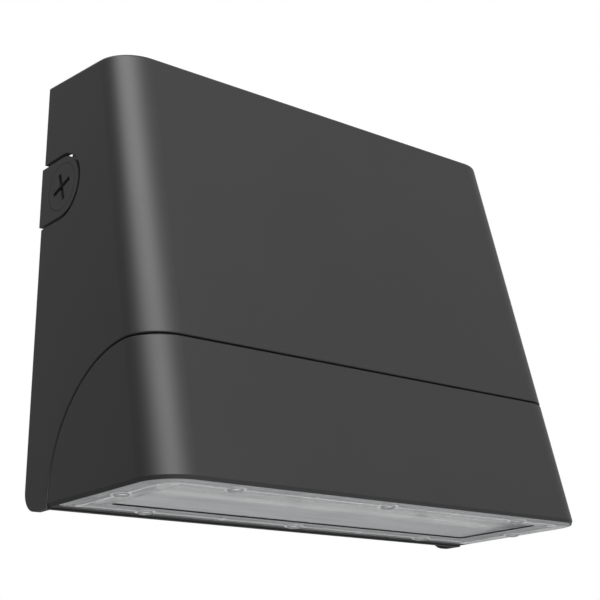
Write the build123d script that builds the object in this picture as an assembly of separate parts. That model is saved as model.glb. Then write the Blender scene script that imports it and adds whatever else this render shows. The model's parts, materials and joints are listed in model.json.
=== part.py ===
"""A wall pack light: a wall box, and a hinged housing that carries a downward lighting head.

Sizes are in millimetres. While it is modelled, y = 0 is the housing's rear edge, with the wall
behind it at +y and the front at -y, and z = 0 is the underside of the lighting head. Every solid
is moved at the end, so that the origin is the centre of the wall fixing holes, on the wall plane.
"""
import os
from math import sqrt

from build123d import *

# ---- housing, outside ----
bottom_width = 240.0
top_width = 227.7
rear_height = 197.1
top_drop = 5.0             # the top slopes down this much on its way to the front
bottom_depth = 101.3
top_depth = 60.0
front_corner_radius = 16.3
top_edge_radius = 1.6
housing_wall = 3.0
foot_drop = 0.5            # the housing's feet reach this far below the head

# ---- seam between the housing and the lighting head ----
seam_height = 58.5
seam_radius = 55.0
seam_rear = 19.5           # from the housing's rear edge to the seam's upright end
seam_gap = 0.8
seam_edge_radius = 0.5
floor_thickness = 2.5
roof_thickness = 2.5

# ---- wall box ----
wall_gap = 2.0             # wall plane to the housing's rear edge
box_side_gap = 10.85       # wall box to the inside of the housing, at the narrower end
box_top_gap = 17.1         # top of the wall box to the top of the housing
box_floor_drop = 10.5      # the seam's height in the front to the underside of the wall box
box_depth = 32.0
box_wall = 3.5
box_back_thickness = 4.0
box_corner_radius = 8.0
back_plate_low = 20.0
pattern_rise = 1.0         # middle of the wall box to the centre of the fixing holes

# ---- fixing holes and cable entry in the wall box ----
outlet_box_spacing = 88.9
outlet_slot_width = 4.8
outlet_slot_length = 10.0
corner_hole_side_inset = 25.0
corner_hole_end_inset = 21.0
corner_hole_diameter = 6.5
cable_entry_diameter = 22.2

# ---- side conduit ports ----
port_drop = 55.1           # top of the housing to the port's centre
port_setback = 16.0        # port centre in front of the housing's rear edge
port_outer_radius = 14.0
port_notch_gap = 1.7
plug_diameter = 21.7
plug_length = 9.0
plug_clearance = 0.2
port_seat_length = 11.0
port_throat_diameter = 17.0
recess_length = 13.8
recess_width = 2.2
recess_depth = 3.5
recess_turn = 18.5         # degrees from upright
plug_seal_width = 2.0
plug_seal_depth = 1.2

# ---- service hinge ----
hinge_setback = 9.5
pin_diameter = 5.0
pin_clearance = 0.05
pin_press_clearance = 0.02
arm_eye_radius = 5.5
arm_thickness = 7.5
arm_lap = 4.0              # how much of the arm is under the wall box
arm_side_gap = 0.5
pin_boss_high = 22.0
pin_boss_depth = 9.0

# ---- seals ----
seal_thickness = 1.2
seal_gap = 0.3
seal_frame_thickness = 3.0
seal_frame_lap = 9.0       # how far the frame reaches inside the wall box's rim
box_seal_width = 3.0
wall_gasket_width = 6.0
wall_gasket_thickness = 2.5
wall_gasket_inset = 6.0
head_seal_inset = 1.6
head_seal_width = 4.0
slip = 0.05                # working slack between pieces that sit in each other

# ---- locking screws in the top of the housing ----
lock_spacing = 140.0
lock_setback = 8.0
lock_diameter = 6.0
lock_length = 11.9
lock_boss_radius = 6.0
lock_boss_gap = 3.5        # the pad on the wall box to the boss above it
lock_pad_height = 4.0
lock_pad_width = 16.0
lock_pad_depth = 14.0
lock_tip_gap = 0.3
lock_socket_size = 3.0
lock_socket_depth = 3.5

# ---- lighting head ----
head_wall = 2.8
head_edge_height = 1.6
head_edge_inset = 0.9
light_room_depth = 14.0    # from the ledge up to the deck
deck_thickness = 3.0
ledge_skin = 1.2           # what is left of the ledge above the lens screws
lens_inset = 1.4
lens_rear = 23.5
lens_thickness = 2.6
lens_rear_radius = 4.0
lens_fit = 0.3
lens_pocket_depth = 0.8     # the shallow pocket in the lens's outer face at the window
lens_gasket_thickness = 1.2
window_side_inset = 17.1   # from the lens's edge to the window
window_front_inset = 13.9
window_rear_inset = 13.5
window_radius = 2.0
frame_border = 3.0
frame_fit = 0.4
window_frame_thickness = 1.2
window_seal_thickness = 0.7
window_seal_width = 2.0
diffuser_thickness = 2.0

# ---- lens details ----
screw_line_inset = 7.0     # lens edge to the line of screws and the raised rib
lens_screw_spacing = 80.0
corner_pip_side_inset = 12.6
corner_pip_front_inset = 9.5
lens_screw_diameter = 3.5
lens_screw_head_diameter = 6.4
lens_screw_head_height = 1.1
lens_screw_head_rounding = 0.88
lens_screw_recess_length = 3.2
lens_screw_recess_depth = 0.66
lens_screw_grip = 5.0
lens_boss_diameter = 9.0
lens_boss_height = 0.5
lens_pip_diameter = 3.4
lens_pip_height = 0.5
lens_rib_width = 1.2
lens_rib_height = 0.4

# ---- light engine ----
board_thickness = 1.6
board_length = 95.0
board_width = 32.0
board_gap = 2.0
chip_size = 3.0
chip_height = 0.8
chip_columns = 9
chip_rows = 2
board_end = 9.1            # from the end of a board to its last emitters and its last screw
board_screw_diameter = 3.0
board_screw_head_diameter = 5.0
board_screw_head_height = 1.4
board_screw_grip = 2.5
reflector_wall = 1.0

# ---- fixing of the head to the housing ----
head_screw_spacing = 60.0
head_screw_wall_gap = 1.77 # from a screw's head to the inside of the front
head_screw_diameter = 5.0
head_screw_head_diameter = 9.0
head_screw_head_height = 3.0
head_screw_grip = 8.0
head_screw_boss_radius = 5.5
head_screw_boss_skin = 1.0 # what is left of a boss below its screw
grommet_bore_diameter = 5.0
grommet_body_diameter = 9.0
grommet_flange_diameter = 12.0
grommet_flange_thickness = 1.5

# ---- gear plate and what is on it ----
gear_plate_thickness = 1.5
gear_plate_side = 7.0      # from the plate's edge to the driver's tab
gear_plate_foot = 6.0      # from the plate's lower edge to the driver
gear_plate_head = 4.0      # from the surge protector to the plate's upper edge
gear_floor_gap = 8.2
gear_front_gap = 1.43
gear_boss_radius = 5.0
gear_boss_edge = 7.0
gear_screw_diameter = 4.0
gear_screw_head_diameter = 7.6
gear_screw_head_height = 2.4
gear_screw_grip = 1.8
driver_length = 104.0
driver_height = 36.0
driver_depth = 27.0
driver_tab_length = 9.0
driver_tab_thickness = 1.5
driver_edge_radius = 2.0
driver_screw_diameter = 3.5
driver_screw_head_diameter = 6.5
driver_screw_head_height = 2.0
terminal_width = 12.0
terminal_height = 30.0
terminal_depth = 14.0
terminal_gap = 5.0         # from the driver's tab
terminal_side = 6.0        # to the plate's edge
terminal_rise = 10.0       # above the driver's underside
terminal_ways = 3
terminal_hole_diameter = 4.0
surge_length = 44.0
surge_height = 16.0
surge_depth = 20.0
surge_gap = 4.0            # above the driver
surge_inset = 18.0         # from the driver's end

# ---- ground screw ----
ground_drop = 12.0         # top of the wall box to the screw
ground_boss_radius = 5.0
ground_boss_length = 7.0
ground_screw_diameter = 5.0
ground_head_diameter = 9.0
ground_head_height = 2.6
ground_washer_thickness = 1.0
ground_washer_diameter = 12.0
screw_slot_width = 1.0
beyond = 1.0               # how far a cut runs past what it cuts

# ---- worked out from the sizes above ----
half_bottom = bottom_width / 2
side_draft = (bottom_width - top_width) / 2 / rear_height
front_slope = (bottom_depth - top_depth) / (rear_height - top_drop)
front_lean = sqrt(1 + front_slope ** 2)
top_slope = top_drop / top_depth
top_lean = sqrt(1 + top_slope ** 2)
side_lean = sqrt(1 + side_draft ** 2)
far = 2 * bottom_width     # longer than anything that it has to cut
outside_x = max(bottom_width, top_width) / 2 + beyond

arc_y = -(seam_rear + seam_radius)
arc_z = seam_height - seam_radius
floor_high = seam_height + seam_gap + floor_thickness
roof_low = seam_height - roof_thickness

box_width = min(bottom_width, top_width) - 2 * (housing_wall + box_side_gap)
box_low = seam_height - box_floor_drop
box_high = rear_height - box_top_gap
box_height = box_high - box_low
box_middle = (box_low + box_high) / 2
box_front = wall_gap - box_depth
box_back_front = wall_gap - box_back_thickness
pattern_height = box_middle + pattern_rise
corner_hole_spacing_x = box_width - 2 * corner_hole_side_inset
corner_hole_spacing_z = box_height - 2 * corner_hole_end_inset
ground_height = box_high - ground_drop
seal_frame_rear = box_front - seal_thickness - seal_gap

port_y = -port_setback
port_height = rear_height - port_drop
port_face_x = half_bottom - side_draft * port_height
plug_inner_x = port_face_x - plug_length

hinge_y = -hinge_setback
hinge_height = hinge_setback - foot_drop
arm_inner_x = box_width / 2 - arm_lap
arm_outer_x = arm_inner_x + arm_thickness
boss_inner_x = arm_outer_x + arm_side_gap

lock_y = -lock_setback
lock_pad_high = box_high + lock_pad_height
lock_boss_low = lock_pad_high + lock_boss_gap
lock_boss_high = rear_height + top_slope * lock_y - housing_wall / 2

lens_front = -(bottom_depth - lens_inset)
lens_half = half_bottom - lens_inset
lens_gasket_high = lens_thickness + lens_gasket_thickness
lens_screw_high = lens_gasket_high + lens_screw_grip
ledge_high = lens_screw_high + ledge_skin
deck_low = ledge_high + light_room_depth

window_width = 2 * (lens_half - window_side_inset)
window_front = -lens_front - window_front_inset
window_rear = lens_rear + window_rear_inset
window_centre_y = -(window_front + window_rear) / 2
window_depth = window_front - window_rear
window_opening = frame_border + frame_fit
frame_high = lens_gasket_high + window_frame_thickness
diffuser_low = frame_high + window_seal_thickness
diffuser_high = diffuser_low + diffuser_thickness

board_low = deck_low - board_thickness
board_x = (board_length + board_gap) / 2
board_span = board_length - 2 * board_end
chip_pitch = board_span / (chip_columns - 1)
chip_row_pitch = board_width / chip_rows
board_screw_spacing = board_span / 2
reflector_top_width = 2 * (board_length + reflector_wall) + board_gap
reflector_top_depth = board_width + 2 * reflector_wall


def inside_depth(height):
    """From the housing's rear edge to the inside of its front wall, at a height."""
    return bottom_depth - front_slope * height - housing_wall * front_lean


head_screw_high = floor_high + head_screw_head_height
head_screw_reach = head_screw_head_diameter / 2 + head_screw_wall_gap
head_screw_y = head_screw_reach - inside_depth(head_screw_high)
head_screw_tip = roof_low - head_screw_grip

driver_span = driver_length + 2 * driver_tab_length
gear_plate_width = gear_plate_side + driver_span + terminal_gap + terminal_width + terminal_side
gear_plate_low = floor_high + gear_floor_gap
driver_low = gear_plate_low + gear_plate_foot
driver_middle = driver_low + driver_height / 2
driver_x = gear_plate_side - gear_plate_width / 2 + driver_span / 2
terminal_x = gear_plate_width / 2 - terminal_side - terminal_width / 2
terminal_low = driver_low + terminal_rise
surge_low = driver_low + driver_height + surge_gap
surge_x = driver_x - driver_length / 2 + surge_inset + surge_length / 2
gear_plate_high = surge_low + surge_height + gear_plate_head
gear_face = gear_plate_thickness + gear_front_gap - inside_depth(gear_plate_high)
gear_front = gear_face - gear_plate_thickness


def polygon_on(plane, points):
    """A closed polygon as a face on the given plane."""
    return plane * make_face(Polyline(*points, close=True))


def side_slab(inset, low, high):
    """The space between the two drafted side faces, pulled in by inset, at every depth."""
    shrink = inset * side_lean
    low_half = half_bottom - side_draft * low - shrink
    high_half = half_bottom - side_draft * high - shrink
    points = [(-low_half, low), (low_half, low), (high_half, high), (-high_half, high)]
    return extrude(polygon_on(Plane.XZ, points), amount=far, both=True)


def front_edges(solid):
    """The two edges between the front and the sides, of the four that stand upright."""
    upright = sorted(solid.edges(), key=lambda edge: edge.bounding_box().size.Z)[-4:]
    return sorted(upright, key=lambda edge: edge.center().Y)[:2]


def housing_form(inset, low, rear=0.0):
    """The housing's outer form pulled in by inset, from the height low up to its top."""
    front_shift = inset * front_lean
    top_shift = inset * top_lean

    def front_at(height):
        return -(bottom_depth - front_slope * height) + front_shift

    def top_at(y):
        return rear_height + top_slope * y - top_shift

    # where the front line meets the top line
    corner_z = top_at(front_shift - bottom_depth) / (1 - top_slope * front_slope)
    corner_y = front_at(corner_z)
    points = [(rear, low), (front_at(low), low), (corner_y, corner_z), (rear, top_at(rear))]
    body = extrude(polygon_on(Plane.YZ, points), amount=far / 2, both=True)
    body = body & side_slab(inset, low - beyond, rear_height + beyond)
    return fillet(front_edges(body), front_corner_radius - inset)


def head_profile(offset):
    """Everything in front of and under the seam, grown by offset, across the full width."""
    radius = seam_radius + offset
    rear = arc_y + radius
    high = arc_z + radius
    low = min(-foot_drop, arc_z) - beyond
    turn = radius * sqrt(0.5)
    outline = [
        Line((rear, low), (rear, arc_z)),
        ThreePointArc((rear, arc_z), (arc_y + turn, arc_z + turn), (arc_y, high)),
        Line((arc_y, high), (-far, high)),
        Line((-far, high), (-far, low)),
        Line((-far, low), (rear, low)),
    ]
    face = Plane.YZ * make_face(outline)
    return extrude(face, amount=far / 2, both=True)


def soften_seam(body, offset):
    """Rounds the outer edges that a head profile of this offset leaves on the body."""
    radius = seam_radius + offset
    edges = []
    for edge in body.edges():
        middle = edge @ 0.5
        reach = sqrt((middle.Y - arc_y) ** 2 + (middle.Z - arc_z) ** 2)
        on_flat = middle.Y < arc_y and abs(middle.Z - arc_z - radius) < slip
        on_arc = middle.Y > arc_y and middle.Z > arc_z and abs(reach - radius) < slip
        on_rear = -foot_drop / 2 < middle.Z < arc_z and abs(middle.Y - arc_y - radius) < slip
        inner = edge.bounding_box().size.X > half_bottom and middle.Y > arc_y - slip
        if (on_flat or on_arc or on_rear) and not inner:
            edges.append(edge)
    return fillet(edges, seam_edge_radius)


def block(x_range, y_range, z_range):
    """A box between two limits on each axis."""
    size = [high - low for low, high in (x_range, y_range, z_range)]
    middle = [(high + low) / 2 for low, high in (x_range, y_range, z_range)]
    return Pos(*middle) * Box(*size)


def bar_x(radius, x_range, y, z):
    """A round bar along X."""
    middle = (x_range[0] + x_range[1]) / 2
    return Pos(middle, y, z) * Rot(0, 90, 0) * Cylinder(radius, x_range[1] - x_range[0])


def bar_y(radius, y_range, x, z):
    """A round bar along Y."""
    middle = (y_range[0] + y_range[1]) / 2
    return Pos(x, middle, z) * Rot(90, 0, 0) * Cylinder(radius, y_range[1] - y_range[0])


def bar_z(radius, z_range, x, y):
    """A round bar along Z."""
    middle = (z_range[0] + z_range[1]) / 2
    return Pos(x, y, middle) * Cylinder(radius, z_range[1] - z_range[0])


def plate_y(width, height, radius, y_range, z):
    """An upright plate with round corners, between two depths, centred on x = 0."""
    face = Plane.XZ * RectangleRounded(width, height, radius)
    return Pos(0, y_range[1], z) * extrude(face, amount=y_range[1] - y_range[0])


def plate_z(width, depth, radius, z_range, y):
    """A flat plate with round corners, between two heights, centred on x = 0."""
    face = RectangleRounded(width, depth, radius)
    return Pos(0, y, z_range[0]) * extrude(face, amount=z_range[1] - z_range[0])


def both_sides(solid):
    """The solid and its mirror image across x = 0."""
    return [solid, mirror(solid, about=Plane.YZ)]


def join(solid, pieces):
    for piece in pieces:
        solid = solid + piece
    return solid


def cut(solid, pieces):
    for piece in pieces:
        solid = solid - piece
    return solid


# ---- wall box ----

def port_form(radius, x_range, rear):
    """A side port's form: round at the front, and straight back to the depth rear."""
    round_end = bar_x(radius, x_range, port_y, port_height)
    straight = block(x_range, (port_y, rear), (port_height - radius, port_height + radius))
    return round_end + straight


def side_port():
    x_range = (box_width / 2 - box_wall, outside_x)
    return port_form(port_outer_radius, x_range, wall_gap) & side_slab(0, box_low, box_high)


def port_bore():
    seat_inner = port_face_x - port_seat_length
    throat_inner = box_width / 2 - box_wall - beyond
    seat = bar_x(plug_diameter / 2 + plug_clearance, (seat_inner, outside_x), port_y, port_height)
    return seat + bar_x(port_throat_diameter / 2, (throat_inner, seat_inner + beyond),
                        port_y, port_height)


def hinge_arm():
    """One arm from the bottom of the wall box down to the hinge pin."""
    x_range = (arm_inner_x, arm_outer_x)
    eye = bar_x(arm_eye_radius, x_range, hinge_y, hinge_height)
    stem = block(x_range, (hinge_y - arm_eye_radius, hinge_y + arm_eye_radius),
                 (hinge_height, box_low + box_wall))
    root = block(x_range, (hinge_y - arm_eye_radius, wall_gap),
                 (back_plate_low, box_low + box_wall))
    bore = bar_x(pin_diameter / 2 + pin_press_clearance,
                 (arm_inner_x - beyond, arm_outer_x + beyond), hinge_y, hinge_height)
    return eye + stem + root - bore


def wall_gasket_ring(slack, thickness):
    """The ring in the back of the wall box, grown sideways by slack."""
    width = box_width - 2 * wall_gasket_inset
    height = box_height - 2 * wall_gasket_inset
    radius = box_corner_radius
    y_range = (wall_gap - thickness, wall_gap)
    outer = plate_y(width + 2 * slack, height + 2 * slack, radius, y_range, box_middle)
    hole_width = width - 2 * wall_gasket_width - 2 * slack
    hole_height = height - 2 * wall_gasket_width - 2 * slack
    inner = plate_y(hole_width, hole_height, radius / 2, y_range, box_middle)
    return outer - inner


def outlet_slot(x):
    face = Plane.XZ * SlotOverall(outlet_slot_length, outlet_slot_width)
    slot = extrude(face, amount=box_back_thickness + 2 * beyond)
    return Pos(x, wall_gap + beyond, pattern_height) * slot


def corner_holes():
    y_range = (box_back_front - beyond, wall_gap + beyond)
    return [bar_y(corner_hole_diameter / 2, y_range, x, pattern_height + z)
            for x in (-corner_hole_spacing_x / 2, corner_hole_spacing_x / 2)
            for z in (-corner_hole_spacing_z / 2, corner_hole_spacing_z / 2)]


def lock_pad():
    x_range = ((lock_spacing - lock_pad_width) / 2, (lock_spacing + lock_pad_width) / 2)
    return block(x_range, (wall_gap - lock_pad_depth, wall_gap),
                 (box_high - box_wall / 2, lock_pad_high))


def back_box():
    """The casting on the wall: a tray with side ports, hinge arms and pads for the locks."""
    body = plate_y(box_width, box_height, box_corner_radius, (box_front, wall_gap), box_middle)
    body = body + block((-box_width / 2, box_width / 2), (box_back_front, wall_gap),
                        (back_plate_low, box_middle))
    for piece in (side_port(), hinge_arm(), lock_pad()):
        body = join(body, both_sides(piece))
    hollow = plate_y(box_width - 2 * box_wall, box_height - 2 * box_wall,
                     box_corner_radius - box_wall, (box_front - beyond, box_back_front),
                     box_middle)
    body = body - hollow
    boss_front = box_back_front - ground_boss_length
    body = body + bar_y(ground_boss_radius, (boss_front, box_back_front), 0, ground_height)
    entry = bar_y(cable_entry_diameter / 2, (box_back_front - beyond, wall_gap + beyond),
                  0, pattern_height)
    ground_hole = bar_y(ground_screw_diameter / 2 + slip, (boss_front - beyond, box_back_front),
                        0, ground_height)
    slots = [outlet_slot(x) for x in (-outlet_box_spacing / 2, outlet_box_spacing / 2)]
    groove = wall_gasket_ring(slip, wall_gasket_thickness + slip)
    body = cut(body, both_sides(port_bore()) + slots + corner_holes())
    return cut(body, [entry, ground_hole, groove])


def wall_gasket():
    return wall_gasket_ring(0, wall_gasket_thickness)


def box_seal():
    """The soft ring on the rim of the wall box."""
    y_range = (box_front - seal_thickness, box_front)
    edge = box_wall - box_seal_width
    outer = plate_y(box_width - edge, box_height - edge, box_corner_radius, y_range, box_middle)
    hole = 2 * box_seal_width + edge
    inner = plate_y(box_width - hole, box_height - hole, box_corner_radius - box_wall,
                    y_range, box_middle)
    return outer - inner


def ground_screw():
    head_rear = box_back_front - ground_boss_length - ground_washer_thickness
    washer = bar_y(ground_washer_diameter / 2,
                   (head_rear, head_rear + ground_washer_thickness), 0, ground_height)
    head = bar_y(ground_head_diameter / 2, (head_rear - ground_head_height, head_rear),
                 0, ground_height)
    shank = bar_y(ground_screw_diameter / 2, (head_rear, box_back_front - slip),
                  0, ground_height)
    half = ground_head_diameter / 2
    slot = block((-half, half),
                 (head_rear - ground_head_height - beyond, head_rear - ground_head_height / 2),
                 (ground_height - screw_slot_width / 2, ground_height + screw_slot_width / 2))
    return head + washer + shank - slot


def hinge_pin():
    """A plain pin, held in the arm and turning in the housing's boss."""
    end_x = boss_inner_x + pin_boss_depth - slip
    return bar_x(pin_diameter / 2, (arm_inner_x, end_x), hinge_y, hinge_height)


# ---- conduit plugs ----

def plug_seal_range():
    return (plug_inner_x + plug_seal_width, plug_inner_x + 2 * plug_seal_width)


def conduit_plug():
    """A flush round plug with a cross recess, whose face follows the side's draft."""
    body = bar_x(plug_diameter / 2, (plug_inner_x, outside_x), port_y, port_height)
    body = body & side_slab(0, box_low, box_high)
    arm_x = (port_face_x - recess_depth, outside_x)
    arm = block(arm_x, (-recess_length / 2, recess_length / 2), (-recess_width / 2, recess_width / 2))
    for turn in (90 - recess_turn, -recess_turn):
        body = body - Pos(0, port_y, port_height) * Rot(turn, 0, 0) * arm
    low, high = plug_seal_range()
    groove = bar_x(plug_diameter, (low, high), port_y, port_height)
    core = bar_x(plug_diameter / 2 - plug_seal_depth, (low - beyond, high + beyond),
                 port_y, port_height)
    return body - (groove - core)


def plug_seal():
    low, high = plug_seal_range()
    outer = bar_x(plug_diameter / 2, (low + slip, high - slip), port_y, port_height)
    core = bar_x(plug_diameter / 2 - plug_seal_depth + slip, (low, high), port_y, port_height)
    return outer - core


# ---- housing ----

def pin_boss():
    """The boss inside the side wall at the lower rear corner, which takes the hinge pin."""
    x_range = (boss_inner_x, outside_x)
    web = block(x_range, (hinge_y - arm_eye_radius, hinge_y + arm_eye_radius),
                (hinge_height, pin_boss_high))
    return bar_x(arm_eye_radius, x_range, hinge_y, hinge_height) + web


def foot_rounding():
    """What is cut off the lower rear corner, so that it is round about the hinge."""
    corner = block((-outside_x, outside_x), (hinge_y, beyond), (-foot_drop - beyond, hinge_height))
    return corner - bar_x(hinge_setback, (-far, far), hinge_y, hinge_height)


def pin_hole():
    x_range = (boss_inner_x - beyond, boss_inner_x + pin_boss_depth)
    return bar_x(pin_diameter / 2 + pin_clearance, x_range, hinge_y, hinge_height)


def port_notch():
    """The opening in the side wall round a conduit port, open to the rear."""
    x_range = (port_face_x - 2 * housing_wall, outside_x)
    return port_form(port_outer_radius + port_notch_gap, x_range, beyond)


def seal_frame():
    """The inner frame that closes on the wall box's soft ring."""
    y_range = (seal_frame_rear - seal_frame_thickness, seal_frame_rear)
    slab = block((-half_bottom, half_bottom), y_range, (box_low - box_wall, rear_height))
    opening = plate_y(box_width - 2 * seal_frame_lap, box_height - 2 * seal_frame_lap,
                      box_corner_radius, (y_range[0] - beyond, y_range[1] + beyond), box_middle)
    return slab - opening


def gear_hole_places():
    x = gear_plate_width / 2 - gear_boss_edge
    low = gear_plate_low + gear_boss_edge
    high = gear_plate_high - gear_boss_edge
    return [(side * x, z) for side in (-1, 1) for z in (low, high)]


def gear_bosses(radius, reach):
    return [bar_y(radius, (gear_front - reach, gear_front), x, z) for x, z in gear_hole_places()]


def head_screw_places():
    return [(count * head_screw_spacing, head_screw_y) for count in (-1.5, -0.5, 0.5, 1.5)]


def round_top_edges(body):
    """Rounds the long edges of the top, at the front, the corners and the sides."""
    top = body.faces().sort_by(Axis.Z)[-1]
    rear = top.edges().sort_by(Axis.Y)[-1]
    edges = [edge for edge in top.edges() if (edge @ 0.5 - rear @ 0.5).length > slip]
    return fillet(edges, top_edge_radius)


def upper_housing():
    """The hinged cover: sides, top and front, with an arched floor over the lighting head."""
    outer = housing_form(0, -foot_drop)
    outer = round_top_edges(outer)
    hollow = housing_form(housing_wall, -foot_drop - beyond, rear=beyond)
    inside = housing_form(housing_wall / 2, -foot_drop)
    outer = soften_seam(outer - head_profile(seam_gap), seam_gap)
    floor_form = outer & head_profile(seam_gap + floor_thickness)
    body = outer - hollow
    body = body + (seal_frame() & inside)
    body = join(body, [boss & inside for boss in gear_bosses(gear_boss_radius, top_depth)])
    boss = bar_z(lock_boss_radius, (lock_boss_low, lock_boss_high), lock_spacing / 2, lock_y)
    body = join(body, both_sides(boss) + both_sides(pin_boss() & outer))
    body = body - head_profile(seam_gap)
    body = body + floor_form
    lock_hole = bar_z(lock_diameter / 2 + slip, (lock_boss_low - beyond, rear_height + beyond),
                      lock_spacing / 2, lock_y)
    body = cut(body, both_sides(lock_hole) + both_sides(pin_hole()) + both_sides(port_notch()))
    body = cut(body, gear_bosses(gear_screw_diameter / 2 + slip, gear_screw_grip))
    floor_z = (seam_height, floor_high + beyond)
    body = cut(body, [bar_z(head_screw_diameter / 2 + 2 * slip, floor_z, x, y)
                      for x, y in head_screw_places()])
    body = body - bar_z(grommet_body_diameter / 2 + slip, floor_z, 0, head_screw_y)
    return body - foot_rounding()


def lock_screw():
    """A socket set screw whose tip stands over the pad on the wall box."""
    tip = lock_pad_high + lock_tip_gap
    body = bar_z(lock_diameter / 2, (tip, tip + lock_length), lock_spacing / 2, lock_y)
    socket = Pos(lock_spacing / 2, lock_y, tip + lock_length - lock_socket_depth)
    hexagon = extrude(RegularPolygon(lock_socket_size / 2, 6, major_radius=False),
                      amount=lock_socket_depth + beyond)
    return body - socket * hexagon


# ---- lighting head ----

def lens_outline(inset):
    """The lens's outline pulled in by inset: large corners in front, small ones behind."""
    half = lens_half - inset
    front = lens_front + inset
    rear = -(lens_rear + inset)
    face = polygon_on(Plane.XY, [(-half, rear), (half, rear), (half, front), (-half, front)])
    corners = face.vertices().sort_by(Axis.Y)
    face = fillet(corners[:2], front_corner_radius - lens_inset - inset)
    corners = [v for v in face.vertices() if abs(v.Y - rear) < slip]
    return fillet(corners, max(lens_rear_radius - inset, slip))


def lens_plate(inset, low, high):
    return Pos(0, 0, low) * extrude(lens_outline(inset), amount=high - low)


def window_plate(grow, low, high):
    return plate_z(window_width + 2 * grow, window_depth + 2 * grow, window_radius + max(grow, 0),
                   (low, high), window_centre_y)


def lower_head():
    """The lighting head's casting: outer walls, arched roof, a deck and a ledge for the lens."""
    body = housing_form(0, 0.0) & head_profile(0)
    under = body.faces().sort_by(Axis.Z)[0]
    rear = under.edges().sort_by(Axis.Y)[-1]
    edges = [edge for edge in under.edges() if (edge @ 0.5 - rear @ 0.5).length > slip]
    body = chamfer(edges, head_edge_inset, head_edge_height, reference=under)
    body = soften_seam(body, 0)
    inner = housing_form(head_wall, 0.0) & head_profile(-roof_thickness)
    top_room = inner & block((-far, far), (-far, far), (deck_low + deck_thickness, rear_height))
    light_room = inner & block((-far, far), (-far, far), (ledge_high, deck_low))
    body = body - top_room - light_room
    boss_z = (head_screw_tip - head_screw_boss_skin, seam_height - roof_thickness / 2)
    body = join(body, [bar_z(head_screw_boss_radius, boss_z, x, y)
                       for x, y in head_screw_places()])
    body = cut(body, [bar_z(head_screw_diameter / 2 + slip, (head_screw_tip, seam_height + beyond),
                            x, y) for x, y in head_screw_places()])
    body = body - bar_z(grommet_body_diameter / 2 + slip,
                        (roof_low - beyond, seam_height + beyond), 0, head_screw_y)
    body = body - window_plate(window_opening, -beyond, ledge_high + beyond)
    body = body - lens_plate(-lens_fit, -beyond, lens_gasket_high)
    body = cut(body, [bar_z(lens_screw_diameter / 2 + slip, (0, lens_screw_high), x, y)
                      for x, y in lens_screw_places()])
    board_screw_z = (deck_low - beyond, deck_low + board_screw_grip)
    return cut(body, [bar_z(board_screw_diameter / 2 + slip, board_screw_z, x, y)
                      for x, y in board_screw_places()])


def head_gasket():
    """The soft strip in the seam, set back from the outside."""
    layer = head_profile(seam_gap - slip) - head_profile(slip)
    outer = housing_form(head_seal_inset, 0.0)
    inner = housing_form(head_seal_inset + head_seal_width, 0.0)
    room = block((-far, far), (-far, -seam_rear / 2), (head_seal_inset, rear_height))
    strip = layer & (outer - inner) & room
    sill_x = half_bottom - head_seal_inset - head_seal_width / 2
    sill = layer & block((-sill_x, sill_x), (-seam_rear - beyond, seam_gap - seam_rear + beyond),
                         (head_seal_inset, head_seal_inset + head_seal_width))
    return strip + sill


def head_screws():
    screws = []
    for x, y in head_screw_places():
        head = bar_z(head_screw_head_diameter / 2, (floor_high, head_screw_high), x, y)
        shank = bar_z(head_screw_diameter / 2, (head_screw_tip + slip, floor_high + slip), x, y)
        slot = block((x - head_screw_head_diameter, x + head_screw_head_diameter),
                     (y - screw_slot_width / 2, y + screw_slot_width / 2),
                     (floor_high + head_screw_head_height / 2, head_screw_high + beyond))
        screws.append(head + shank - slot)
    return screws


def wire_grommet():
    """The rubber bush that takes the leads from the housing down into the head."""
    low = roof_low - grommet_flange_thickness
    high = floor_high + grommet_flange_thickness
    flanges = bar_z(grommet_flange_diameter / 2, (low, high), 0, head_screw_y)
    walls = head_profile(seam_gap + floor_thickness) - head_profile(-roof_thickness)
    body = (flanges - walls) + bar_z(grommet_body_diameter / 2, (low, high), 0, head_screw_y)
    return body - bar_z(grommet_bore_diameter / 2, (low - beyond, high + beyond), 0, head_screw_y)


# ---- lens and window ----

def lens_screw_places():
    """Three along the front, three along the rear, and one in the middle of each side."""
    front = lens_front + screw_line_inset
    rear = -(lens_rear + screw_line_inset)
    side = lens_half - screw_line_inset
    rows = [(count * lens_screw_spacing, y) for y in (front, rear) for count in (-1, 0, 1)]
    return rows + [(-side, (front + rear) / 2), (side, (front + rear) / 2)]


def lens_pip_places():
    front = lens_front + screw_line_inset
    rear = -(lens_rear + screw_line_inset)
    side = lens_half - screw_line_inset
    middle = [(half * lens_screw_spacing, y) for y in (front, rear) for half in (-0.5, 0.5)]
    corner_x = lens_half - corner_pip_side_inset
    corner_y = lens_front + corner_pip_front_inset
    return middle + [(-corner_x, corner_y), (corner_x, corner_y), (-side, rear), (side, rear)]


def lens():
    """The clear cover: a plate with a raised rib, screw bosses, pips and a pocket at the window."""
    body = lens_plate(0, 0, lens_thickness) - window_plate(0, -beyond, lens_pocket_depth)
    rib = (lens_plate(screw_line_inset - lens_rib_width / 2, -lens_rib_height, 0)
           - lens_plate(screw_line_inset + lens_rib_width / 2, -lens_rib_height, 0))
    body = body + rib
    body = join(body, [bar_z(lens_boss_diameter / 2, (-lens_boss_height, slip), x, y)
                       for x, y in lens_screw_places()])
    body = join(body, [bar_z(lens_pip_diameter / 2, (-lens_pip_height, slip), x, y)
                       for x, y in lens_pip_places()])
    hole_z = (-lens_boss_height - beyond, lens_thickness + beyond)
    return cut(body, [bar_z(lens_screw_diameter / 2 + 2 * slip, hole_z, x, y)
                      for x, y in lens_screw_places()])


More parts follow.
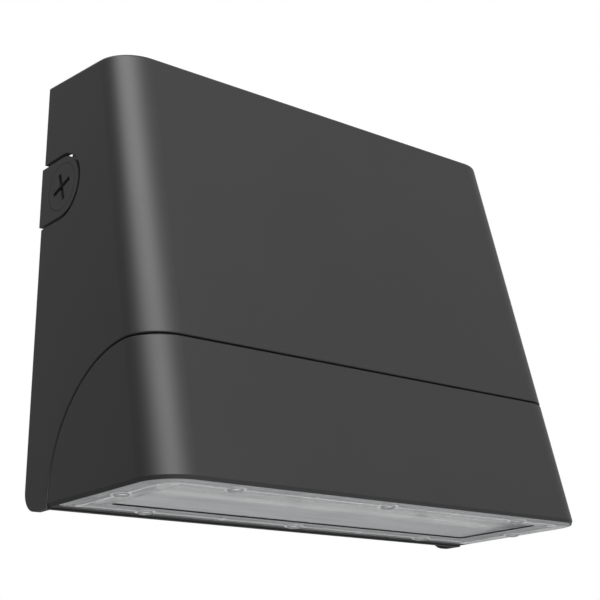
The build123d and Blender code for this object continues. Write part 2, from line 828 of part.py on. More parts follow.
def lens_gasket():
    body = lens_plate(slip, lens_thickness, lens_gasket_high)
    body = body - window_plate(window_opening, lens_thickness, lens_gasket_high)
    hole_z = (lens_thickness - beyond, lens_gasket_high + beyond)
    return cut(body, [bar_z(lens_screw_diameter / 2 + 2 * slip, hole_z, x, y)
                      for x, y in lens_screw_places()])


def lens_screws():
    """Round-headed screws with a cross recess."""
    screws = []
    head_high = -lens_boss_height
    head_low = head_high - lens_screw_head_height
    for x, y in lens_screw_places():
        head = bar_z(lens_screw_head_diameter / 2, (head_low, head_high), x, y)
        rim = head.edges().filter_by(GeomType.CIRCLE).sort_by(Axis.Z)[0]
        head = fillet(rim, lens_screw_head_rounding)
        shank = bar_z(lens_screw_diameter / 2, (head_high, lens_screw_high - slip), x, y)
        screw = head + shank
        reach = lens_screw_recess_length / 2
        half = screw_slot_width / 2
        depth = (head_low - beyond, head_low + lens_screw_recess_depth)
        screw = screw - block((x - reach, x + reach), (y - half, y + half), depth)
        screw = screw - block((x - half, x + half), (y - reach, y + reach), depth)
        screws.append(screw)
    return screws


def window_frame():
    """The thin frame round the lit window, level with the ledge."""
    outer = window_plate(frame_border, lens_thickness + slip, frame_high)
    return outer - window_plate(0, lens_thickness, frame_high + beyond)


def window_seal():
    outer = window_plate(window_seal_width, frame_high, diffuser_low)
    return outer - window_plate(0, frame_high, diffuser_low)


def diffuser():
    return window_plate(window_seal_width, diffuser_low, diffuser_high)


def reflector():
    """The tapering white tray between the boards and the diffuser."""
    high = board_low - slip

    def tapered(shrink, low_extra):
        wide = RectangleRounded(window_width - 2 * shrink, window_depth - 2 * shrink, window_radius)
        narrow = RectangleRounded(reflector_top_width - 2 * shrink,
                                  reflector_top_depth - 2 * shrink, window_radius)
        low_face = Pos(0, window_centre_y, diffuser_high - low_extra) * wide
        high_face = Pos(0, window_centre_y, high + low_extra) * narrow
        return loft([low_face, high_face], ruled=True)

    return tapered(0, 0) - tapered(reflector_wall, slip)


def led_board():
    body = block((board_gap / 2, board_gap / 2 + board_length),
                 (window_centre_y - board_width / 2, window_centre_y + board_width / 2),
                 (board_low, deck_low))
    edges = body.edges().filter_by(Axis.Z)
    body = fillet(edges, window_radius)
    hole_z = (board_low - beyond, deck_low + beyond)
    return cut(body, [bar_z(board_screw_diameter / 2 + slip, hole_z, x, y)
                      for x, y in board_screw_places() if x > 0])


def led_chips():
    """Two rows of emitters on one board."""
    chips = []
    first_x = board_x - chip_pitch * (chip_columns - 1) / 2
    first_y = window_centre_y - chip_row_pitch * (chip_rows - 1) / 2
    for column in range(chip_columns):
        for row in range(chip_rows):
            x = first_x + chip_pitch * column
            y = first_y + chip_row_pitch * row
            chip = block((x - chip_size / 2, x + chip_size / 2),
                         (y - chip_size / 2, y + chip_size / 2),
                         (board_low - chip_height, board_low))
            chips.append(chip)
    return chips


def board_screw_places():
    return [(side * (board_x + count * board_screw_spacing), window_centre_y)
            for side in (-1, 1) for count in (-1, 0, 1)]


def board_screws():
    screws = []
    for x, y in board_screw_places():
        head = bar_z(board_screw_head_diameter / 2,
                     (board_low - board_screw_head_height, board_low), x, y)
        shank = bar_z(board_screw_diameter / 2,
                      (board_low, deck_low + board_screw_grip - slip), x, y)
        reach = board_screw_head_diameter / 2
        slot = block((x - reach, x + reach), (y - screw_slot_width / 2, y + screw_slot_width / 2),
                     (board_low - board_screw_head_height - beyond,
                      board_low - board_screw_head_height / 2))
        screws.append(head + shank - slot)
    return screws


# ---- gear plate ----

def driver_screw_places():
    offset = (driver_length + driver_tab_length) / 2
    return [(driver_x - offset, driver_middle), (driver_x + offset, driver_middle)]


def gear_plate():
    """The flat plate that carries the driver, screwed to four bosses behind the front."""
    middle = (gear_plate_low + gear_plate_high) / 2
    body = plate_y(gear_plate_width, gear_plate_high - gear_plate_low, gear_boss_radius,
                   (gear_front, gear_face), middle)
    y_range = (gear_front - beyond, gear_face + beyond)
    body = cut(body, [bar_y(gear_screw_diameter / 2 + 2 * slip, y_range, x, z)
                      for x, z in gear_hole_places()])
    return cut(body, [bar_y(driver_screw_diameter / 2 + slip, y_range, x, z)
                      for x, z in driver_screw_places()])


def flat_screw(x, z, face, head_diameter, head_height, diameter, tip):
    """A slotted screw along Y, with its head standing on face and its tip in front."""
    head = bar_y(head_diameter / 2, (face, face + head_height), x, z)
    shank = bar_y(diameter / 2, (tip, face), x, z)
    slot = block((x - head_diameter, x + head_diameter),
                 (face + head_height / 2, face + head_height + beyond),
                 (z - screw_slot_width / 2, z + screw_slot_width / 2))
    return head + shank - slot


def gear_screws():
    return [flat_screw(x, z, gear_face, gear_screw_head_diameter, gear_screw_head_height,
                       gear_screw_diameter, gear_front - gear_screw_grip + slip)
            for x, z in gear_hole_places()]


def driver_case():
    """The closed driver with a tab at each end."""
    low_x = driver_x - driver_length / 2
    high_x = driver_x + driver_length / 2
    z_range = (driver_low, driver_low + driver_height)
    body = block((low_x, high_x), (gear_face, gear_face + driver_depth), z_range)
    edges = body.edges().filter_by(Axis.Z) + body.edges().filter_by(Axis.X).sort_by(Axis.Y)[2:]
    body = fillet(edges, driver_edge_radius)
    tab = block((low_x - driver_tab_length, high_x + driver_tab_length),
                (gear_face, gear_face + driver_tab_thickness),
                (driver_middle - driver_tab_length, driver_middle + driver_tab_length))
    y_range = (gear_face - beyond, gear_face + driver_tab_thickness + beyond)
    return cut(body + tab, [bar_y(driver_screw_diameter / 2 + slip, y_range, x, z)
                            for x, z in driver_screw_places()])


def driver_screws():
    return [flat_screw(x, z, gear_face + driver_tab_thickness, driver_screw_head_diameter,
                       driver_screw_head_height, driver_screw_diameter, gear_front)
            for x, z in driver_screw_places()]


def terminal_block():
    """A push-in terminal block with its wire holes facing the service side."""
    body = block((terminal_x - terminal_width / 2, terminal_x + terminal_width / 2),
                 (gear_face, gear_face + terminal_depth),
                 (terminal_low, terminal_low + terminal_height))
    pitch = terminal_height / terminal_ways
    holes = [bar_y(terminal_hole_diameter / 2,
                   (gear_face + terminal_depth / 2, gear_face + terminal_depth + beyond),
                   terminal_x, terminal_low + pitch * (way + 0.5)) for way in range(terminal_ways)]
    return cut(body, holes)


def surge_protector():
    body = block((surge_x - surge_length / 2, surge_x + surge_length / 2),
                 (gear_face, gear_face + surge_depth), (surge_low, surge_low + surge_height))
    return fillet(body.edges().filter_by(Axis.Y), driver_edge_radius)


# ---- output ----

os.makedirs("parts", exist_ok=True)
to_row = Pos(0, -wall_gap, -pattern_height)


def save(name, solids):
    """Moves the node's solids to the wall frame and writes them as one file."""
    solids = solids if isinstance(solids, list) else [solids]
    moved = []
    for item in solids:
        for solid in item.solids():
            moved.append(to_row * solid)
    shape = moved[0] if len(moved) == 1 else Compound(children=moved)
    shape.label = name
    export_step(shape, os.path.join("parts", name + ".step"))


def save_pair(name, solid):
    """Writes a right-hand piece and its mirror image as two nodes."""
    right, left = both_sides(solid)
    save(name + "_right", right)
    save(name + "_left", left)


save("back_box", back_box())
save("wall_gasket", wall_gasket())
save("box_seal", box_seal())
save("ground_screw", ground_screw())
save("hinge_pins", both_sides(hinge_pin()))
save_pair("conduit_plug", conduit_plug())
save_pair("plug_seal", plug_seal())
save("upper_housing", upper_housing())
save_pair("lock_screw", lock_screw())
save("lower_head", lower_head())
save("head_gasket", head_gasket())
save("head_screws", head_screws())
save("wire_grommet", wire_grommet())
save("lens", lens())
save("lens_gasket", lens_gasket())
save("lens_screws", lens_screws())
save("window_frame", window_frame())
save("window_seal", window_seal())
save("diffuser", diffuser())
save("reflector", reflector())
save_pair("led_board", led_board())
save_pair("led_chips", Compound(children=led_chips()))
save("board_screws", board_screws())
save("gear_plate", gear_plate())
save("gear_screws", gear_screws())
save("driver_case", driver_case())
save("driver_screws", driver_screws())
save("terminal_block", terminal_block())
save("surge_protector", surge_protector())
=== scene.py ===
import json
from math import cos, radians, sin, tau

import bmesh
import bpy
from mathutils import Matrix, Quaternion, Vector


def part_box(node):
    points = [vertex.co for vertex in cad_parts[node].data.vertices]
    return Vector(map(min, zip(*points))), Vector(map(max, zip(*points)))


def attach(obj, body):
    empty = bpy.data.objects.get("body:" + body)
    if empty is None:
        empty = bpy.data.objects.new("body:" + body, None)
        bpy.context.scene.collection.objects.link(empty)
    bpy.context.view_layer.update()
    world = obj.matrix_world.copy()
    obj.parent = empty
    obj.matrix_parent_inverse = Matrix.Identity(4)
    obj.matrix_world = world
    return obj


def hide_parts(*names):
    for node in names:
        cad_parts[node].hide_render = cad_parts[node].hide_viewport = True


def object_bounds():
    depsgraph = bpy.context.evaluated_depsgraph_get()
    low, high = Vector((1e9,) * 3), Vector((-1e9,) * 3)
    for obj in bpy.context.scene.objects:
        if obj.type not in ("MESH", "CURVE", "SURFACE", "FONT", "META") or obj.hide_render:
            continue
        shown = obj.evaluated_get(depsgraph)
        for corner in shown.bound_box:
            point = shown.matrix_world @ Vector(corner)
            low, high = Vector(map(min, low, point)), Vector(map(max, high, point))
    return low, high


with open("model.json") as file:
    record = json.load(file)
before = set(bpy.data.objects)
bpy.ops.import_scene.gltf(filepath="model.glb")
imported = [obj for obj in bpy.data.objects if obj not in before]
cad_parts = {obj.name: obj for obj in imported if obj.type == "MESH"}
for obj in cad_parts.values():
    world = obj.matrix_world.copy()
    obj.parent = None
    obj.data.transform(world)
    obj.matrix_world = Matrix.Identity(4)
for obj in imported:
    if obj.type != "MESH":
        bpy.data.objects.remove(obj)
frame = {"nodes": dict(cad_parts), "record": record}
nodes = frame["nodes"]
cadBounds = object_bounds()
print("frame loaded:", len(nodes), "nodes")


# a wire is one output socket, and arithmetic on it adds Math nodes

class Wire:
    def __init__(self, paint, socket):
        self.paint = paint
        self.socket = socket

    def maths(self, operation, first, second=0.0):
        return self.paint.node("ShaderNodeMath", {"operation": operation}, {0: first, 1: second})

    def __add__(self, other):
        return self.maths("ADD", self, other)

    def __radd__(self, other):
        return self.maths("ADD", other, self)

    def __sub__(self, other):
        return self.maths("SUBTRACT", self, other)

    def __rsub__(self, other):
        return self.maths("SUBTRACT", other, self)

    def __mul__(self, other):
        return self.maths("MULTIPLY", self, other)

    def __gt__(self, other):
        return self.maths("GREATER_THAN", self, other)

    def __lt__(self, other):
        return self.maths("LESS_THAN", self, other)

    def __abs__(self):
        return self.maths("ABSOLUTE", self)

    def largest(self, other):
        return self.maths("MAXIMUM", self, other)

    def clamped(self):
        return self.maths("MINIMUM", self.largest(0.0), 1.0)


class Paint:
    def __init__(self, name, owner=None):
        self.owner = owner or bpy.data.materials.new(name)
        self.owner.use_nodes = True
        self.tree = self.owner.node_tree
        self.tree.nodes.clear()

    def node(self, kind, settings=None, sockets=None, output=0):
        made = self.tree.nodes.new(kind)
        for key, value in (settings or {}).items():
            setattr(made, key, value)
        for key, value in (sockets or {}).items():
            if isinstance(value, Wire):
                self.tree.links.new(value.socket, made.inputs[key])
            else:
                made.inputs[key].default_value = value
        return Wire(self, made.outputs[output]) if made.outputs else None

    def place(self, scale=(1, 1, 1)):
        spot = self.node("ShaderNodeTexCoord", output="Object")
        return self.node("ShaderNodeMapping", None, {"Vector": spot, "Scale": scale})

    def axis(self, letter):
        spot = self.node("ShaderNodeTexCoord", output="Object")
        return self.node("ShaderNodeSeparateXYZ", None, {0: spot}, letter)

    def noise(self, scale, detail=2.0, roughness=0.5, spot=None):
        sockets = {"Vector": spot or self.place(), "Scale": scale}
        sockets.update({"Detail": detail, "Roughness": roughness})
        return self.node("ShaderNodeTexNoise", None, sockets, "Fac")

    def tone(self, colour, other, factor):
        first = colour if isinstance(colour, Wire) else (*colour, 1)
        second = other if isinstance(other, Wire) else (*other, 1)
        sockets = {"Factor": factor, 6: first, 7: second}
        return self.node("ShaderNodeMix", {"data_type": "RGBA"}, sockets, 2)

    def bump(self, height, strength, distance):
        sockets = {"Height": height, "Strength": strength, "Distance": distance}
        return self.node("ShaderNodeBump", None, sockets)

    def finish(self, **sockets):
        names = {key.replace("_", " "): value for key, value in sockets.items()}
        shader = self.node("ShaderNodeBsdfPrincipled", None, names)
        self.node("ShaderNodeOutputMaterial", None, {"Surface": shader})
        return self.owner


# finishes, one for each material slot of the parts

housingFinish = {
    "colour": (0.042, 0.042, 0.0425),
    "speckle": 0.05,          # how much the colour wanders
    "roughness": 0.50,
    "density": 1.17,          # index of refraction, which sets how glossy the coat is
    "grain": 2600.0,          # powder texture, per metre
    "grainDepth": 0.000012,
}


def powderCoat(name):
    paint = Paint(name)
    fine = paint.noise(housingFinish["grain"], 3.0)
    broad = paint.noise(22.0, 2.0)
    wander = (fine - 0.5) * 0.5 + (broad - 0.5) * 0.6
    spread = housingFinish["speckle"]
    dark = tuple(part * (1 - spread) for part in housingFinish["colour"])
    pale = tuple(part * (1 + spread) for part in housingFinish["colour"])
    return paint.finish(
        Base_Color=paint.tone(dark, pale, (wander + 0.5).clamped()),
        Roughness=(broad - 0.5) * 0.06 + (fine - 0.5) * 0.05 + housingFinish["roughness"],
        IOR=housingFinish["density"],
        Normal=paint.bump(fine, 0.35, housingFinish["grainDepth"]))


def softRubber(name, colour, roughness=0.7):
    paint = Paint(name)
    fine = paint.noise(1800.0, 2.0)
    bloom = paint.noise(60.0, 3.0)
    pale = tuple(part * 1.5 + 0.004 for part in colour)
    return paint.finish(
        Base_Color=paint.tone(colour, pale, bloom * 0.7),
        Roughness=(fine - 0.5) * 0.15 + roughness,
        Specular_IOR_Level=0.3,
        Normal=paint.bump(fine, 0.4, 0.00003))


def platedSteel(name, colour, roughness):
    paint = Paint(name)
    drawn = paint.noise(1.0, 3.0, 0.6, paint.place((40.0, 40.0, 900.0)))
    stain = paint.noise(130.0, 2.0)
    dull = tuple(part * 0.72 for part in colour)
    return paint.finish(
        Base_Color=paint.tone(colour, dull, stain * 0.8),
        Metallic=1.0,
        Roughness=(drawn - 0.5) * 0.22 + roughness,
        Normal=paint.bump(drawn, 0.25, 0.00003))


def galvanised(name):
    paint = Paint(name)
    sockets = {"Vector": paint.place(), "Scale": 210.0}
    spangle = paint.node("ShaderNodeTexVoronoi", {"feature": "F1"}, sockets, "Color")
    tone = paint.node("ShaderNodeSeparateColor", None, {0: spangle})
    fine = paint.noise(900.0, 2.0)
    return paint.finish(
        Base_Color=paint.tone((0.46, 0.47, 0.48), (0.62, 0.63, 0.64), tone),
        Metallic=1.0,
        Roughness=tone * 0.18 + (fine - 0.5) * 0.08 + 0.34,
        Normal=paint.bump(fine, 0.2, 0.00002))


def moulded(name, colour, roughness):
    paint = Paint(name)
    fine = paint.noise(2200.0, 2.0)
    flow = paint.noise(35.0, 2.0)
    other = tuple(part * 0.88 for part in colour)
    return paint.finish(
        Base_Color=paint.tone(colour, other, flow),
        Roughness=(fine - 0.5) * 0.12 + roughness,
        Normal=paint.bump(fine, 0.3, 0.00002))


def frostedSheet(name):
    paint = Paint(name)
    streaks = paint.noise(1.0, 5.0, 0.62, paint.place((11.0, 420.0, 60.0)))
    cloud = paint.noise(1.0, 3.0, 0.5, paint.place((18.0, 60.0, 20.0)))
    mix = (streaks - 0.5) * 1.5 + (cloud - 0.5) * 0.8 + 0.5
    return paint.finish(
        Base_Color=paint.tone((0.70, 0.71, 0.72), (0.86, 0.87, 0.88), mix.clamped()),
        Roughness=(streaks - 0.5) * 0.2 + 0.4,
        Specular_IOR_Level=0.4,
        Normal=paint.bump(streaks, 0.25, 0.00006))


finishes = {
    "housing_paint": powderCoat("powderCoat"),
    "seal_rubber": softRubber("sealRubber", (0.012, 0.012, 0.012)),
    "silicone": softRubber("paleSilicone", (0.42, 0.43, 0.44), 0.5),
    "screw_steel": platedSteel("zincSteel", (0.60, 0.60, 0.61), 0.30),
    "ground_green": moulded("greenPlating", (0.02, 0.17, 0.05), 0.35),
    "plate_zinc": galvanised("galvanisedSheet"),
    "lens_clear": moulded("clearPlastic", (0.55, 0.56, 0.57), 0.16),
    "frame_grey": moulded("paleFrame", (0.66, 0.67, 0.68), 0.45),
    "diffuser_frost": frostedSheet("frostedSheet"),
    "reflector_white": moulded("whiteReflector", (0.80, 0.80, 0.79), 0.35),
    "board_white": moulded("whiteSolderMask", (0.76, 0.76, 0.74), 0.4),
    "chip_yellow": moulded("phosphor", (0.80, 0.62, 0.18), 0.3),
    "driver_shell": moulded("driverPaint", (0.62, 0.63, 0.64), 0.4),
    "terminal_plastic": moulded("ivoryPlastic", (0.68, 0.66, 0.58), 0.35),
    "surge_plastic": moulded("blackPlastic", (0.02, 0.02, 0.021), 0.45),
}
chipFrameFinish = moulded("chipFrame", (0.72, 0.72, 0.68), 0.35)
paleScrewFinish = platedSteel("paleScrewSteel", (0.54, 0.55, 0.56), 0.34)

slotOf = {part["node"]: part["material_slot"] for part in frame["record"]["subparts"]}
for name, part in nodes.items():
    part.data.materials.clear()
    part.data.materials.append(finishes[slotOf[name]])
print("finishes on", len(nodes), "nodes")


# meshes for the pieces that the scene draws more finely

def turned(profile, sides):
    mesh = bmesh.new()
    rings = []
    for radius, height in profile:
        if radius == 0:
            rings.append([mesh.verts.new((0, 0, height))])
            continue
        angles = [tau * step / sides for step in range(sides)]
        points = [(radius * cos(turn), radius * sin(turn), height) for turn in angles]
        rings.append([mesh.verts.new(point) for point in points])
    for first, second in zip(rings, rings[1:]):
        for step in range(sides):
            following = (step + 1) % sides
            if len(first) == 1:
                mesh.faces.new((first[0], second[following], second[step]))
            elif len(second) == 1:
                mesh.faces.new((first[step], first[following], second[0]))
            else:
                mesh.faces.new((first[step], first[following], second[following], second[step]))
    return mesh


def finished(name, mesh, finish, smooth=True):
    bmesh.ops.recalc_face_normals(mesh, faces=mesh.faces)
    data = bpy.data.meshes.new(name)
    mesh.to_mesh(data)
    mesh.free()
    for face in data.polygons:
        face.use_smooth = smooth
    if finish:
        data.materials.append(finish)
    return data


# geometry nodes that set a source piece on every point of a row or a grid

class Pattern:
    def __init__(self, name, inputs):
        self.tree = bpy.data.node_groups.new(name, "GeometryNodeTree")
        self.sockets = {}
        for label, kind in inputs.items():
            kind = "NodeSocket" + kind
            socket = self.tree.interface.new_socket(label, in_out="INPUT", socket_type=kind)
            self.sockets[label] = socket.identifier
        self.tree.interface.new_socket("Result", in_out="OUTPUT", socket_type="NodeSocketGeometry")
        self.given = self.tree.nodes.new("NodeGroupInput")
        self.ending = self.tree.nodes.new("NodeGroupOutput")

    def node(self, kind, settings=None, sockets=None, output=0):
        made = self.tree.nodes.new(kind)
        for key, value in (settings or {}).items():
            setattr(made, key, value)
        for key, value in (sockets or {}).items():
            if isinstance(value, bpy.types.NodeSocket):
                self.tree.links.new(value, made.inputs[key])
            else:
                made.inputs[key].default_value = value
        return made.outputs[output]

    def maths(self, operation, first, second):
        return self.node("ShaderNodeMath", {"operation": operation}, {0: first, 1: second})

    def into(self, label):
        return self.given.outputs[label]

    def close(self, geometry):
        self.tree.links.new(geometry, self.ending.inputs["Result"])

    def grow(self, name, values):
        seed = bpy.data.objects.new(name, bpy.data.meshes.new(name + "Seed"))
        bpy.context.collection.objects.link(seed)
        modifier = seed.modifiers.new("grow", "NODES")
        modifier.node_group = self.tree
        for label, value in values.items():
            modifier[self.sockets[label]] = value
        evaluated = seed.evaluated_get(bpy.context.evaluated_depsgraph_get())
        made = bpy.data.meshes.new_from_object(evaluated)
        seed.modifiers.remove(modifier)
        seed.data = made
        made.name = name
        return seed


# the clear cover, with its small edges rounded so that they catch the light

lensSetting = {
    "edge": 0.00022,          # rounding of its edges, metres
    "edgeSteps": 2,
    "bossHeight": 0.0005,     # the screw bosses are its lowest points
    "pocketDepth": 0.0008,    # depth of the shallow pocket at the window
    "slack": 0.00004,         # keeps a shaded zone clear of the next face
    "windowMargin": 0.00032,  # how far the window's shade reaches past the reflector
    "mergeDistance": 0.000001,
    "sharpEdge": 40,          # degrees from which an edge is rounded
    "body": 0.72,             # how milky it is: 1 hides all that is behind it
    "borderDark": (0.42, 0.43, 0.44),
    "borderPale": (0.52, 0.53, 0.54),
    "windowDark": (0.58, 0.59, 0.60),
    "windowPale": (0.76, 0.77, 0.78),
    # painted highlight: near white for the raised ribs, screw bosses and pips
    "ribHighlightColour": (0.90, 0.91, 0.92),
    # painted shade: near black for the pocket's inner wall, in place of the shadow in the recess
    "pocketWallShadeColour": (0.02, 0.02, 0.02),
}


def clearCover(name, low, windowLow, windowHigh):
    paint = Paint(name)
    flow = paint.noise(1.0, 3.0, 0.55, paint.place((14.0, 90.0, 90.0)))
    streaks = paint.noise(1.0, 5.0, 0.62, paint.place((11.0, 420.0, 60.0)))
    across, along, height = (paint.axis(letter) for letter in "XYZ")
    slack, margin = lensSetting["slack"], lensSetting["windowMargin"]
    inside = (abs(across) < windowHigh.x + margin) * (along < windowHigh.y + margin)
    inside = inside * (along > windowLow.y - margin)
    # painted shade: the pocket's inner wall around the window is painted near black and made opaque, in
    # place of the shadow in the recess
    pocketWallShade = inside * (height > low + 2 * slack) * (height < low + lensSetting["pocketDepth"] - slack)
    # painted highlight: the raised ribs, screw bosses and pips are painted near white, in place of the
    # glints along their edges
    raisedHighlight = height < low - slack
    border = paint.tone(lensSetting["borderDark"], lensSetting["borderPale"], flow)
    middle = (streaks - 0.5) * 1.6 + (flow - 0.5) * 0.6 + 0.5
    window = paint.tone(lensSetting["windowDark"], lensSetting["windowPale"], middle.clamped())
    shade = paint.tone(border, window, inside)
    shade = paint.tone(shade, lensSetting["ribHighlightColour"], raisedHighlight)
    return paint.finish(
        Base_Color=paint.tone(shade, lensSetting["pocketWallShadeColour"], pocketWallShade),
        Roughness=(flow - 0.5) * 0.1 + 0.16,
        Specular_IOR_Level=0.5,
        Alpha=((flow - 0.5) * 0.1 + lensSetting["body"]).largest(pocketWallShade))


def makeLensCover():
    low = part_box("lens")[0]
    windowLow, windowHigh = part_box("reflector")
    mesh = bmesh.new()
    mesh.from_mesh(nodes["lens"].data)
    bmesh.ops.remove_doubles(mesh, verts=mesh.verts, dist=lensSetting["mergeDistance"])
    cover = bpy.data.objects.new("lensCover", finished("lensCover", mesh, None))
    bpy.context.collection.objects.link(cover)
    edging = cover.modifiers.new("edging", "BEVEL")
    edging.limit_method = "ANGLE"
    edging.angle_limit = radians(lensSetting["sharpEdge"])
    edging.width = lensSetting["edge"]
    edging.segments = lensSetting["edgeSteps"]
    edging.harden_normals = True
    evaluated = cover.evaluated_get(bpy.context.evaluated_depsgraph_get())
    rounded = bpy.data.meshes.new_from_object(evaluated)
    cover.modifiers.remove(edging)
    cover.data = rounded
    face = low.z + lensSetting["bossHeight"]
    rounded.materials.append(clearCover("clearCover", face, windowLow, windowHigh))
    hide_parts("lens")
    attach(cover, "housing")


makeLensCover()
print("clear cover made")


# lens screws: low round heads with a cross recess, one on every boss

screwSetting = {
    "headRadius": 0.0032,
    "headHeight": 0.0009,
    "shankRadius": 0.00172,
    "shankPoint": 0.0004,     # height of the taper at the shank's end
    "recessReach": 0.0016,
    "recessWidth": 0.0007,
    "recessDepth": 0.0005,
    "sides": 40,              # round steps of the head
    "spacing": 0.080,         # between a row's middle screw and the one on each side
    "turnSeed": 4,
}


def makeScrewSource(shankLength):
    radius, rise = screwSetting["headRadius"], screwSetting["headHeight"]
    shank = screwSetting["shankRadius"]
    taper = shankLength - screwSetting["shankPoint"]
    profile = [(0, shankLength), (shank * 0.8, shankLength), (shank, taper), (shank, 0)]
    profile += [(radius * 0.97, 0), (radius, -rise * 0.12), (radius * 0.97, -rise * 0.42)]
    profile += [(radius * 0.86, -rise * 0.72), (radius * 0.62, -rise * 0.93), (0, -rise)]
    head = turned(profile, screwSetting["sides"])
    source = bpy.data.objects.new("screwSource", finished("screwSource", head, None))
    reach, half = screwSetting["recessReach"], screwSetting["recessWidth"] / 2
    floor = -rise + screwSetting["recessDepth"]
    cutter = bmesh.new()
    outline = [(half, half), (half, reach), (-half, reach), (-half, half)]
    outline += [(-reach, half), (-reach, -half), (-half, -half), (-half, -reach)]
    outline += [(half, -reach), (half, -half), (reach, -half), (reach, half)]
    lower = [cutter.verts.new((x, y, -2 * rise)) for x, y in outline]
    upper = [cutter.verts.new((x * 0.7, y * 0.7, floor)) for x, y in outline]
    cutter.faces.new(lower)
    cutter.faces.new(upper)
    for step in range(len(outline)):
        following = (step + 1) % len(outline)
        cutter.faces.new((lower[step], lower[following], upper[following], upper[step]))
    cross = bpy.data.objects.new("crossCutter", finished("crossCutter", cutter, None, smooth=False))
    for piece in (source, cross):
        bpy.context.collection.objects.link(piece)
    recess = source.modifiers.new("recess", "BOOLEAN")
    recess.operation = "DIFFERENCE"
    recess.solver = "EXACT"
    recess.object = cross
    evaluated = source.evaluated_get(bpy.context.evaluated_depsgraph_get())
    shaped = bpy.data.meshes.new_from_object(evaluated)
    source.modifiers.remove(recess)
    source.data = shaped
    bpy.data.objects.remove(cross)
    return source


def makeLensScrews():
    low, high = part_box("lens_screws")
    radius = screwSetting["headRadius"]
    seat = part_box("lens")[0].z
    inputs = {"Screw": "Object", "Finish": "Material", "Spacing": "Float", "Side": "Float"}
    inputs.update({"Front": "Float", "Rear": "Float", "Seat": "Float", "Seed": "Int"})
    pattern = Pattern("screwPattern", inputs)
    rows = []
    for label in ("Front", "Rear"):
        back = pattern.maths("MULTIPLY", pattern.into("Spacing"), -1.0)
        begin = pattern.node("ShaderNodeCombineXYZ", None,
                             {"X": back, "Y": pattern.into(label), "Z": pattern.into("Seat")})
        step = pattern.node("ShaderNodeCombineXYZ", None, {"X": pattern.into("Spacing")})
        rows.append(pattern.node("GeometryNodeMeshLine", None,
                                 {"Count": 3, "Start Location": begin, "Offset": step}))
    middle = pattern.maths("ADD", pattern.into("Front"), pattern.into("Rear"))
    middle = pattern.maths("MULTIPLY", middle, 0.5)
    left = pattern.maths("MULTIPLY", pattern.into("Side"), -1.0)
    width = pattern.maths("MULTIPLY", pattern.into("Side"), 2.0)
    begin = pattern.node("ShaderNodeCombineXYZ", None,
                         {"X": left, "Y": middle, "Z": pattern.into("Seat")})
    step = pattern.node("ShaderNodeCombineXYZ", None, {"X": width})
    rows.append(pattern.node("GeometryNodeMeshLine", None,
                             {"Count": 2, "Start Location": begin, "Offset": step}))
    joined = pattern.tree.nodes.new("GeometryNodeJoinGeometry")
    for row in rows:
        pattern.tree.links.new(row, joined.inputs[0])
    screw = pattern.node("GeometryNodeObjectInfo", None, {"Object": pattern.into("Screw")}, "Geometry")
    turn = pattern.tree.nodes.new("FunctionNodeRandomValue")
    turn.data_type = "FLOAT_VECTOR"
    turn.inputs[0].default_value = (0, 0, 0)
    turn.inputs[1].default_value = (0, 0, tau)
    pattern.tree.links.new(pattern.into("Seed"), turn.inputs["Seed"])
    placed = pattern.node("GeometryNodeInstanceOnPoints", None,
                          {"Points": joined.outputs[0], "Instance": screw, "Rotation": turn.outputs[0]})
    solid = pattern.node("GeometryNodeRealizeInstances", None, {0: placed})
    pattern.close(pattern.node("GeometryNodeSetMaterial", None,
                               {"Geometry": solid, "Material": pattern.into("Finish")}))
    source = makeScrewSource(high.z - seat)
    screws = pattern.grow("lensScrews", {
        "Screw": source, "Finish": paleScrewFinish, "Spacing": screwSetting["spacing"],
        "Side": high.x - radius, "Front": low.y + radius, "Rear": high.y - radius,
        "Seat": seat, "Seed": screwSetting["turnSeed"]})
    bpy.data.objects.remove(source)
    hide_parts("lens_screws")
    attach(screws, "housing")


makeLensScrews()
print("lens screws made")


# emitters on the two boards: a pale frame with a round yellow dome in it

chipSetting = {
    "size": 0.0030,
    "height": 0.0008,
    "wellRadius": 0.00122,
    "sides": 32,              # round steps of the well and the dome
    "columns": 9,
    "rows": 2,
}


def makeChipSources():
    half, depth, well = chipSetting["size"] / 2, chipSetting["height"], chipSetting["wellRadius"]
    sides = chipSetting["sides"]
    frameMesh = bmesh.new()
    rings = []
    for radius, height in ((well, -depth), (well * 0.82, -depth * 0.45)):
        angles = [tau * step / sides for step in range(sides)]
        points = [(radius * cos(turn), radius * sin(turn), height) for turn in angles]
        rings.append([frameMesh.verts.new(point) for point in points])
    outer = []
    for height in (-depth, -depth * 0.06):
        ring = []
        for step in range(sides):
            turn = tau * step / sides
            reach = half / max(abs(cos(turn)), abs(sin(turn)))
            ring.append(frameMesh.verts.new((reach * cos(turn), reach * sin(turn), height)))
        outer.append(ring)
    order = [rings[1], rings[0], outer[0], outer[1]]
    for first, second in zip(order, order[1:]):
        for step in range(sides):
            following = (step + 1) % sides
            frameMesh.faces.new((first[step], first[following], second[following], second[step]))
    frameMesh.faces.new(order[0])
    frameMesh.faces.new(order[-1])
    shell = bpy.data.objects.new("chipShell", finished("chipShell", frameMesh, None, smooth=False))
    profile = [(0, -depth * 0.4), (well * 0.83, -depth * 0.5), (well * 0.95, -depth * 0.88)]
    profile += [(well * 0.62, -depth * 0.97), (0, -depth)]
    dome = bpy.data.objects.new("chipDome", finished("chipDome", turned(profile, sides), None))
    for piece in (shell, dome):
        bpy.context.collection.objects.link(piece)
    return shell, dome


